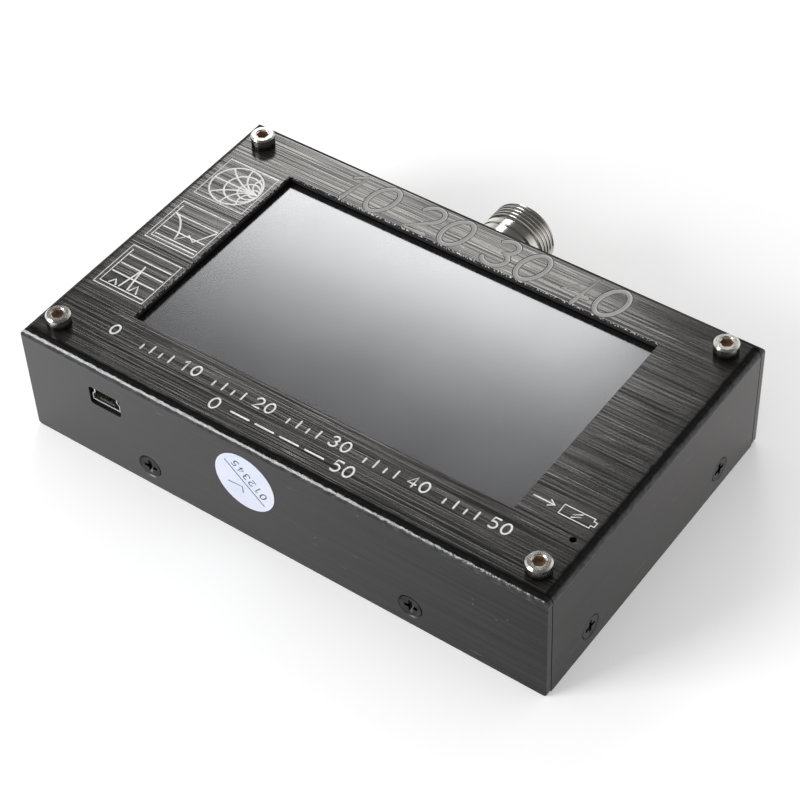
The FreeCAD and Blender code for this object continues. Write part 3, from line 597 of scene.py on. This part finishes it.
def scuff_group():
    """Sparse short scratches along the grain, and specks of dust."""
    tree, given, out = new_group("scuffs", {"Amount": 0.5}, {"Scratches": "Float", "Dust": "Float"})
    thin = noise(tree, stretched(tree, 130.0, 3600.0))
    patch = times(tree, noise(tree, place(tree), 55.0), given["Amount"])
    limit = between(tree, patch, 0.1, 0.5, 0.86, 0.62)
    tree.links.new(between(tree, minus(tree, thin, limit), 0.0, 0.05), out["Scratches"])
    specks = add(tree, "ShaderNodeTexVoronoi", {"Vector": place(tree), "Scale": 620.0})
    near = between(tree, specks.outputs["Distance"], 0.16, 0.05)
    rare = between(tree, noise(tree, place(tree), 140.0), 0.66, 0.72)
    tree.links.new(times(tree, near, rare), out["Dust"])
    return tree


def mottle_group():
    """Slight unevenness of colour, gloss and surface, as on any moulded, plated or painted piece."""
    tree, given, out = new_group("mottle", {"Size": 400.0, "Relief": 0.1},
                                 {"Shade": "Float", "Normal": "Vector"})
    broad = noise(tree, place(tree), given["Size"], 4.0)
    tree.links.new(between(tree, broad, 0.3, 0.7), out["Shade"])
    fine = noise(tree, place(tree), times(tree, given["Size"], 8.0), 5.0)
    tree.links.new(bumped(tree, fine, given["Relief"], 0.02 * MM), out["Normal"])
    return tree


def turned_group():
    """Fine rings left by a lathe about the antenna port's axis."""
    tree, given, out = new_group("turned", {"Pitch": 9000.0, "Relief": 0.1},
                                 {"Rings": "Float", "Normal": "Vector"})
    at = split(tree, place(tree))
    round_axis = combined(tree, times(tree, at["X"], 60.0), times(tree, at["Y"], given["Pitch"]),
                          times(tree, at["Z"], 60.0))
    rings = noise(tree, round_axis, detail=2.0)
    tree.links.new(rings, out["Rings"])
    tree.links.new(bumped(tree, rings, given["Relief"], 0.01 * MM), out["Normal"])
    return tree


brushed = brushed_group()
scuffs = scuff_group()
mottle = mottle_group()
turned = turned_group()


# ---------------------------------------------------------------- finishes that show


def smooth_dark_bend_band(tree):
    """1 along the front and right bends of the top, where the sheet is smooth and its colour is darkened as a
    painted dark reflection.
    """
    at = split(tree, place(tree))
    to_front = plus(tree, at["Y"], half_width)
    to_right = minus(tree, half_length, at["X"])
    ragged = times(tree, noise(tree, place(tree), 420.0, 3.0), 0.8 * MM)
    near = plus(tree, calc(tree, "MINIMUM", to_front, to_right), ragged)
    on_top = between(tree, near, bend_outer + 1.0 * MM, bend_outer + 0.5 * MM)
    bend_start = case_top - bend_outer
    high = between(tree, at["Z"], bend_start - 0.1 * MM, bend_start + 0.1 * MM)
    return times(tree, on_top, high)


def painted_wall_shading(tree, streaks, facing_x):
    """The walls' colour with painted shading: darker along the front towards the right, and lighter along the
    side towards the rear.
    """
    at = split(tree, place(tree))
    front = mixed(tree, between(tree, at["X"], -half_length, half_length), (0.098, 0.095, 0.097, 1),
                  (0.021, 0.0205, 0.021, 1))
    side = mixed(tree, between(tree, at["Y"], -half_width, half_width), (0.038, 0.036, 0.035, 1),
                 (0.124, 0.118, 0.116, 1))
    wall = mixed(tree, calc(tree, "GREATER_THAN", facing_x, end_facing), front, side)
    return mixed(tree, times(tree, streaks, 0.2), wall, grey(0.1))


def anodised_case():
    """Dark anodising over brushed sheet, with painted shading on the walls, smooth along the front and right
    bends and darkened there as a painted dark reflection.
    """
    material, tree, shader = new_material("anodised_case")
    grain = use(tree, brushed, Along=30.0, Across=3000.0)
    marks = use(tree, scuffs, Amount=0.5)
    bend = smooth_dark_bend_band(tree)
    towards = facing(tree)
    flat_top = between(tree, towards["Z"], 0.85, 0.97)
    top = mixed(tree, grain["Streaks"], grey(0.040), (0.150, 0.146, 0.139, 1))
    top = mixed(tree, times(tree, grain["Glints"], 0.45), top, (0.30, 0.29, 0.275, 1))
    # The walls take their colour with painted shading; the flat top keeps its brushed colour.
    colour = mixed(tree, flat_top, painted_wall_shading(tree, grain["Streaks"], towards["X"]), top)
    colour = mixed(tree, times(tree, marks["Scratches"], 0.5), colour, grey(0.4))
    # Painted dark reflection: a black band on the top along the front and right bends.
    colour = mixed(tree, bend, colour, (0.03, 0.03, 0.031, 1))
    colour = mixed(tree, times(tree, marks["Dust"], 0.3), colour, grey(0.5))
    rough = between(tree, grain["Streaks"], 0.0, 1.0, 0.22, 0.17)
    rough = blended(tree, flat_top, 0.42, rough)
    rough = blended(tree, bend, rough, 0.13)
    relief = times(tree, flat_top, minus(tree, 1.0, bend))
    normal = bumped(tree, times(tree, grain["Streaks"], relief), 0.9, 0.012 * MM)
    filled(tree, shader, {"Base Color": colour, "Roughness": rough, "Normal": normal, "Metallic": 0.88})
    return material


def glossy_bend():
    """The front and right bends: smooth black anodising, rubbed uneven."""
    material, tree, shader = new_material("glossy_bend")
    rubbed = noise(tree, stretched(tree, 800.0, 1500.0), detail=3.0)
    colour = mixed(tree, between(tree, rubbed, 0.35, 0.7), (0.036, 0.036, 0.037, 1), (0.074, 0.074, 0.075, 1))
    rough = between(tree, rubbed, 0.3, 0.7, 0.10, 0.19)
    normal = bumped(tree, rubbed, 1.0, 0.06 * MM)
    filled(tree, shader, {"Base Color": colour, "Roughness": rough, "Normal": normal, "Metallic": 0.9})
    return material


def shaded_bend():
    """The rear and left bends: brushed like the top, dull, and darker than the top as painted shade along
    those rims.
    """
    material, tree, shader = new_material("shaded_bend")
    grain = use(tree, brushed, Along=30.0, Across=3000.0)
    marks = use(tree, scuffs, Amount=0.5)
    colour = mixed(tree, grain["Streaks"], grey(0.012), (0.085, 0.083, 0.08, 1))
    colour = mixed(tree, times(tree, marks["Scratches"], 0.5), colour, grey(0.3))
    rough = between(tree, grain["Streaks"], 0.0, 1.0, 0.6, 0.5)
    filled(tree, shader, {"Base Color": colour, "Roughness": rough, "Specular IOR Level": 0.0})
    return material


def engraved_metal(name, deep, wall, rim):
    """Bare metal in a groove, given the colours of its floor and its walls and the walls' depth."""
    material, tree, shader = new_material(name)
    height = split(tree, place(tree))["Z"]
    depth = between(tree, height, case_top - rim, case_top - rim - 0.02 * MM)
    grain = use(tree, mottle, Size=900.0, Relief=0.3)
    colour = mixed(tree, depth, wall, deep)
    colour = mixed(tree, times(tree, grain["Shade"], 0.25), colour, grey(0.3))
    rough = between(tree, grain["Shade"], 0.0, 1.0, 0.6, 0.45)
    filled(tree, shader, {"Base Color": colour, "Roughness": rough, "Normal": grain["Normal"],
                          "Metallic": 0.1})
    return material


def shaded_cut_edge():
    """The sheet's edge round the window, painted black as shade, with small painted glints along its top."""
    material, tree, shader = new_material("shaded_cut_edge")
    at = split(tree, place(tree))
    run = plus(tree, at["X"], at["Y"])
    teeth = noise(tree, combined(tree, times(tree, run, 2300.0), times(tree, at["Z"], 1700.0), 0.0))
    limit = between(tree, noise(tree, place(tree), 60.0), 0.35, 0.65, 0.58, 0.46)
    # Bright flecks along the top of the cut edge are painted glints; the rest is painted black as shade.
    glint_fleck = between(tree, minus(tree, teeth, limit), 0.0, 0.07)
    rim = between(tree, at["Z"], case_top - 0.8 * MM, case_top - 0.4 * MM)
    bright = times(tree, glint_fleck, rim)
    filled(tree, shader, {"Base Color": mixed(tree, bright, grey(0.008), grey(0.7)),
                          "Roughness": between(tree, bright, 0.0, 1.0, 0.6, 0.4)})
    return material


def screen_film():
    """Grey gloss film: the display's own area, with a duller border round it."""
    material, tree, shader = new_material("screen_film")
    at = split(tree, place(tree))
    off_x = calc(tree, "ABSOLUTE", minus(tree, at["X"], display_centre[0]))
    off_y = calc(tree, "ABSOLUTE", minus(tree, at["Y"], display_centre[1]))
    inside = times(tree, between(tree, off_x, display_half_x + display_fade, display_half_x),
                   between(tree, off_y, display_half_y + display_fade, display_half_y))
    cloud = use(tree, mottle, Size=60.0, Relief=0.0)
    display = mixed(tree, cloud["Shade"], (0.210, 0.213, 0.219, 1), (0.224, 0.227, 0.232, 1))
    smear = noise(tree, place(tree), 45.0, 3.0)
    filled(tree, shader, {"Base Color": mixed(tree, inside, (0.060, 0.060, 0.062, 1), display),
                          "Roughness": between(tree, smear, 0.3, 0.7, 0.165, 0.185),
                          "Metallic": 0.9, "Coat Weight": inside, "Coat Roughness": 0.14})
    return material


def nickel():
    """Bright nickel plating over turned brass."""
    material, tree, shader = new_material("nickel")
    lathe = use(tree, turned, Pitch=5000.0, Relief=0.06)
    spots = use(tree, mottle, Size=260.0, Relief=0.0)
    colour = mixed(tree, lathe["Rings"], (0.66, 0.64, 0.61, 1), (0.82, 0.80, 0.77, 1))
    colour = mixed(tree, times(tree, spots["Shade"], 0.25), colour, (0.50, 0.46, 0.40, 1))
    rough = between(tree, spots["Shade"], 0.0, 1.0, 0.15, 0.21)
    filled(tree, shader, {"Base Color": colour, "Roughness": rough, "Normal": lathe["Normal"],
                          "Metallic": 1.0})
    return material


def stainless():
    """Bright stainless steel, with painted shade low on the heads' sides and a painted brown reflection in
    the rougher sockets.
    """
    material, tree, shader = new_material("stainless")
    at = split(tree, place(tree))
    off_x = minus(tree, calc(tree, "ABSOLUTE", at["X"]), screws_high.x - head_radius)
    off_y = minus(tree, calc(tree, "ABSOLUTE", at["Y"]), screws_high.y - head_radius)
    in_socket = between(tree, hypotenuse(tree, off_x, off_y), 1.6 * MM, 1.45 * MM)
    below_face = between(tree, at["Z"], screws_high.z - 0.15 * MM, screws_high.z - 0.3 * MM)
    # A painted brown reflection inside the sockets, which are also rougher.
    socket_reflection = times(tree, in_socket, below_face)
    cloud = use(tree, mottle, Size=500.0, Relief=0.0)
    steel = mixed(tree, cloud["Shade"], (0.58, 0.56, 0.52, 1), (0.74, 0.72, 0.68, 1))
    # Painted shade on the lower sides of the heads.
    foot_shade = between(tree, at["Z"], case_top + 1.7 * MM, case_top + 0.9 * MM)
    steel = mixed(tree, foot_shade, steel, (0.13, 0.125, 0.12, 1))
    gloss = between(tree, cloud["Shade"], 0.0, 1.0, 0.17, 0.24)
    filled(tree, shader, {"Base Color": mixed(tree, socket_reflection, steel, (0.55, 0.42, 0.33, 1)),
                          "Roughness": plus(tree, gloss, times(tree, socket_reflection, 0.3)), "Metallic": 1.0})
    return material


def sticker_paper():
    """Faintly blue coated paper with a slightly paler rim."""
    material, tree, shader = new_material("sticker_paper")
    at = split(tree, place(tree))
    radius = hypotenuse(tree, minus(tree, at["X"], sticker_centre.x), minus(tree, at["Z"], sticker_centre.z))
    rim = between(tree, radius, sticker_radius - 0.3 * MM, sticker_radius)
    fibre = use(tree, mottle, Size=180.0, Relief=0.2)
    paper = mixed(tree, fibre["Shade"], (0.52, 0.58, 0.68, 1), (0.60, 0.60, 0.70, 1))
    paper = mixed(tree, times(tree, rim, 0.7), paper, (0.70, 0.72, 0.78, 1))
    rough = between(tree, fibre["Shade"], 0.0, 1.0, 0.5, 0.6)
    filled(tree, shader, {"Base Color": paper, "Roughness": rough, "Normal": fibre["Normal"]})
    return material


def board_laminate():
    """Green solder resist with copper tracks showing faintly through it."""
    material, tree, shader = new_material("board_laminate")
    grid = add(tree, "ShaderNodeTexVoronoi", {"Vector": place(tree), "Scale": 260.0}, distance="MANHATTAN")
    track = between(tree, grid.outputs["Distance"], 0.5, 0.6)
    cloud = use(tree, mottle, Size=120.0, Relief=0.1)
    resist = mixed(tree, cloud["Shade"], (0.012, 0.07, 0.03, 1), (0.02, 0.10, 0.045, 1))
    filled(tree, shader, {"Base Color": mixed(tree, track, resist, (0.05, 0.19, 0.09, 1)),
                          "Roughness": between(tree, track, 0.0, 1.0, 0.35, 0.25),
                          "Normal": cloud["Normal"]})
    return material


# ---------------------------------------------------------------- finishes by family


def clouded(name, dark, light, rough, rougher, size, relief, **settings):
    """A finish that wanders between two colours and two roughnesses over a slight relief."""
    material, tree, shader = new_material(name)
    cloud = use(tree, mottle, Size=size, Relief=relief)
    filled(tree, shader, {"Base Color": mixed(tree, cloud["Shade"], dark + (1,), light + (1,)),
                          "Roughness": between(tree, cloud["Shade"], 0.0, 1.0, rough, rougher),
                          "Normal": cloud["Normal"]})
    filled(tree, shader, settings)
    return material


def plated(name, dark, light, rough, metallic=1.0, size=500.0, relief=0.12):
    """A metal or plating with slight clouding."""
    return clouded(name, dark, light, rough, rough * 1.35, size, relief, Metallic=metallic)


def moulded(name, dark, light, rough, size=300.0, relief=0.3, coat=0.0):
    """A plastic, foam, ceramic or film with its grain."""
    return clouded(name, dark, light, rough, min(1.0, rough * 1.2), size, relief,
                   **{"Coat Weight": coat, "Coat Roughness": 0.1})


# What makes each slot's finish, followed by what it is given
FINISHES = {
    "case_sheet": (anodised_case,),
    "cover_sheet": (plated, "black_cover", (0.022, 0.022, 0.024), (0.05, 0.05, 0.052), 0.38),
    "stainless": (stainless,),
    "black_screws": (plated, "black_oxide", (0.015, 0.015, 0.016), (0.06, 0.06, 0.062), 0.3),
    "zinc": (plated, "zinc", (0.45, 0.47, 0.50), (0.68, 0.70, 0.72), 0.28),
    "brass_plated": (nickel,),
    "bare_brass": (plated, "bare_brass", (0.60, 0.42, 0.16), (0.82, 0.62, 0.28), 0.25),
    "gold": (plated, "gold_plating", (0.80, 0.55, 0.20), (0.95, 0.72, 0.32), 0.2),
    "sticker_paper": (sticker_paper,),
    "foam": (moulded, "black_foam", (0.006, 0.006, 0.006), (0.02, 0.02, 0.02), 0.85, 900.0, 0.8),
    "touch_film": (screen_film,),
    "lcd_metal": (plated, "bright_tray", (0.50, 0.51, 0.52), (0.66, 0.67, 0.68), 0.25),
    "lcd_cell": (moulded, "lcd_cell", (0.05, 0.055, 0.06), (0.07, 0.075, 0.08), 0.1, 80.0, 0.02, 1.0),
    "guide_plastic": (moulded, "guide_plastic", (0.80, 0.80, 0.77), (0.88, 0.88, 0.85), 0.4),
    "ribbon_film": (moulded, "ribbon_film", (0.45, 0.22, 0.05), (0.60, 0.32, 0.08), 0.3, 300.0, 0.3, 0.5),
    "socket_plastic": (moulded, "socket_plastic", (0.66, 0.62, 0.52), (0.78, 0.74, 0.64), 0.45),
    "board_laminate": (board_laminate,),
    "chip_epoxy": (moulded, "chip_epoxy", (0.02, 0.02, 0.022), (0.04, 0.04, 0.042), 0.55, 900.0, 0.6),
    "solder_tin": (plated, "tinned", (0.52, 0.53, 0.54), (0.74, 0.74, 0.75), 0.24),
    "ceramic_body": (moulded, "ceramic_body", (0.40, 0.30, 0.18), (0.52, 0.42, 0.28), 0.5),
    "ferrite": (moulded, "ferrite", (0.05, 0.05, 0.052), (0.10, 0.10, 0.105), 0.6, 700.0, 0.7),
    "lamp_epoxy": (moulded, "lamp_epoxy", (0.20, 0.012, 0.01), (0.28, 0.02, 0.015), 0.12, 300.0, 0.3, 1.0),
    "black_plastic": (moulded, "black_plastic", (0.018, 0.018, 0.019), (0.032, 0.032, 0.034), 0.42),
    "rocker_plastic": (moulded, "rocker_plastic", (0.022, 0.022, 0.024), (0.034, 0.034, 0.036), 0.22,
                       260.0, 0.1, 0.4),
    "ptfe": (moulded, "ptfe", (0.78, 0.78, 0.75), (0.88, 0.88, 0.86), 0.4, 500.0, 0.15),
    "battery_wrap": (plated, "battery_wrap", (0.50, 0.51, 0.53), (0.66, 0.67, 0.69), 0.35, 0.7, 200.0, 0.4),
    "tape_foam": (moulded, "tape_foam", (0.62, 0.60, 0.55), (0.74, 0.72, 0.67), 0.8, 900.0, 0.7),
    "red_insulation": (moulded, "red_insulation", (0.42, 0.02, 0.015), (0.55, 0.04, 0.03), 0.4),
    "black_insulation": (moulded, "black_insulation", (0.02, 0.02, 0.02), (0.035, 0.035, 0.035), 0.4),
    "spring_steel": (plated, "spring_steel", (0.40, 0.40, 0.41), (0.60, 0.60, 0.61), 0.22),
}


def dress_nodes():
    """Gives every CAD node the finish of its slot, and returns the finishes by slot."""
    made = {slot: build(*given) for slot, (build, *given) in FINISHES.items()}
    for row in frame["record"]["subparts"]:
        painted(nodes[row["node"]], made[row["material_slot"]])
    return made


# ---------------------------------------------------------------- pieces


def engraved(piece, cutters, *materials):
    """Cuts grooves into a piece. The grooves keep the cutters' materials."""
    for material in materials:
        piece.data.materials.append(material)
    tool = joined(cutters, "engraving_tool")
    alone(piece)
    cut = piece.modifiers.new("engraving", "BOOLEAN")
    cut.operation = "DIFFERENCE"
    cut.solver = "EXACT"
    cut.use_self = True
    cut.material_mode = "TRANSFER"
    cut.object = tool
    bpy.ops.object.modifier_apply(modifier=cut.name)
    bpy.data.objects.remove(tool)


def crisp_grooves(piece):
    """Marks the edges between the grooves and the rest as sharp, so that flat faces stay flat."""
    mesh = piece.data
    sides = {}
    for face in mesh.polygons:
        for key in face.edge_keys:
            sides.setdefault(key, set()).add(face.material_index)
    for edge in mesh.edges:
        if len(sides.get(edge.key, ())) > 1:
            edge.use_edge_sharp = True


def added_slot(piece, material):
    """Adds a material to a piece, and gives its slot's number."""
    piece.data.materials.append(material)
    return len(piece.data.materials) - 1


def sorted_faces(cover):
    """Gives the cover's bends and the window's edges their own finishes, by where they lie."""
    glossy, dull, cut = [added_slot(cover, finish()) for finish in (glossy_bend, shaded_bend, shaded_cut_edge)]
    for face in cover.data.polygons:
        if face.material_index != 0:
            continue
        normal, middle = face.normal, face.center
        if 0.01 < normal.z < 0.99 and middle.z > case_top - bend_outer:
            # The rear and left bends take the darker, unreflecting finish: painted shade along those rims.
            front_or_right = normal.y < -0.01 or normal.x > 0.01
            face.material_index = glossy if front_or_right else dull
        inside_x = abs(middle.x) < half_length - window_from_end
        inside_y = abs(middle.y) < half_width - window_from_side
        upright = abs(normal.z) < 0.5
        if upright and inside_x and inside_y and middle.z > case_top - window_depth:
            face.material_index = cut


def engraved_cover(finishes):
    """The folded cover with its markings cut into the top."""
    cover = painted(copied_node("top_cover", "engraved_cover"), finishes["case_sheet"])
    fine = engraved_metal("engraved_lines", grey(0.88), grey(0.76), 0.02 * MM)
    # The large numbers' upper walls are much brighter than their floors: a painted highlight along the
    # strokes' edges.
    wide = engraved_metal("engraved_numbers", (0.36, 0.35, 0.33, 1), grey(0.80), 0.07 * MM)
    # Black in the shallow step round each large number: a painted shadow outline.
    rim = engraved_metal("painted_shadow_rims", grey(0.015), grey(0.015), 0.02 * MM)
    numbers, shadow_rims = number_cutters()
    cutters = [painted(piece, fine) for piece in line_cutters()]
    cutters += [painted(piece, wide) for piece in numbers]
    cutters += [painted(piece, rim) for piece in shadow_rims]
    engraved(cover, cutters, fine, wide, rim)
    crisp_grooves(cover)
    sorted_faces(cover)
    finished(cover, "case", "case_sheet", "top_cover")


def printed_sticker(finishes):
    """The paper sticker with its print sunk a hair into its face."""
    sticker = painted(copied_node("inspection_sticker", "printed_sticker"), finishes["sticker_paper"])
    ink = moulded("sticker_ink", (0.03, 0.045, 0.07), (0.05, 0.065, 0.095), 0.6)
    strokes = [stroke_tube(points, print_radius, flat=print_flat) for points in sticker_print()]
    tool = joined([painted(stroke, ink) for stroke in strokes], "print_tool")
    face = Vector((sticker_centre.x, sticker_low.y + tube_sink * MM, sticker_centre.z))
    turned_up = Matrix.Rotation(math.radians(90), 4, "X")
    tilted = Matrix.Rotation(math.radians(sticker_tilt), 4, "Y")
    tool.matrix_world = Matrix.Translation(face) @ tilted @ turned_up
    engraved(sticker, [settled(tool)], ink)
    crisp_grooves(sticker)
    finished(sticker, "case", "sticker_paper", "inspection_sticker")


# ---------------------------------------------------------------- floor, lights and camera
case_middle = (0, 0, 0.02)


def stage_floor():
    """A plain pale floor that keeps the object's shadow and shows white around it."""
    bpy.ops.mesh.primitive_plane_add(size=8.0, location=(0, 0, -0.02 * MM))
    floor = bpy.context.object
    floor.name = "floor"
    material, tree, shader = new_material("pale_floor")
    paper = noise(tree, place(tree), 3.0, 2.0)
    rays = add(tree, "ShaderNodeLightPath").outputs
    seen = calc(tree, "MAXIMUM", rays["Is Camera Ray"], rays["Is Glossy Ray"])
    seen = calc(tree, "MAXIMUM", seen, rays["Is Transmission Ray"])
    filled(tree, shader, {"Base Color": mixed(tree, paper, grey(0.93), grey(0.95)), "Roughness": 0.9,
                          "Specular IOR Level": 0.0, "Emission Color": grey(1.0),
                          "Emission Strength": times(tree, seen, 0.19)})
    floor.data.materials.append(material)


def sky():
    """White along the horizon, and dim higher up."""
    world = bpy.data.worlds.new("surround")
    bpy.context.scene.world = world
    world.use_nodes = True
    tree = world.node_tree
    back = next(node for node in tree.nodes if node.type == "BACKGROUND")
    direction = add(tree, "ShaderNodeTexCoord").outputs["Generated"]
    strength = between(tree, split(tree, direction)["Z"], 0.16, 0.60, 1.0, 0.12)
    filled(tree, back, {"Color": grey(1.0), "Strength": strength})


def soft_fill(strength):
    """Even light from above that no shiny surface mirrors."""
    bpy.ops.object.light_add(type="SUN", location=(0, 0, 1))
    light = bpy.context.object
    light.name = "soft_fill"
    light.data.energy = strength
    light.data.angle = math.radians(120)
    light.visible_glossy = False


def aimed(piece, place_at, aim, roll):
    """Turns a light or a camera towards a point, and then about its own line of sight, in degrees."""
    piece.rotation_mode = "QUATERNION"
    turn = (Vector(aim) - Vector(place_at)).to_track_quat("-Z", "Y")
    piece.rotation_quaternion = turn @ Matrix.Rotation(math.radians(roll), 3, "Z").to_quaternion()


def panel_light(name, place_at, roll, size_x, size_y, radiance):
    """A soft rectangular light aimed at the object, with the brightness of its face given."""
    bpy.ops.object.light_add(type="AREA", location=place_at)
    light = bpy.context.object
    light.name = name
    light.data.shape = "RECTANGLE"
    light.data.size = size_x
    light.data.size_y = size_y
    light.data.energy = radiance * math.pi * size_x * size_y
    aimed(light, place_at, case_middle, roll)


def camera():
    """The camera above the right front corner, looking down to the left."""
    place_at = (0.21040, -0.26970, 0.36651)
    bpy.ops.object.camera_add(location=place_at)
    eye = bpy.context.object
    eye.data.lens = 103.57
    eye.data.sensor_width = 36.0
    eye.data.clip_start = 0.01
    eye.data.clip_end = 20.0
    aimed(eye, place_at, (0.00740, -0.00668, 0.02000), -2.84)
    bpy.context.scene.camera = eye


# ---------------------------------------------------------------- the whole scene

deselect()
finishes = dress_nodes()
engraved_cover(finishes)
printed_sticker(finishes)

stage_floor()
sky()
soft_fill(1.2)
panel_light("rear_panel", (-1.200, 1.805, 1.455), -21, 0.73, 0.954, 4.3)
panel_light("front_panel", (-0.700, -0.986, 0.49), 0, 0.62, 0.65, 10.6)
camera()

bpy.context.scene.view_settings.view_transform = "Standard"
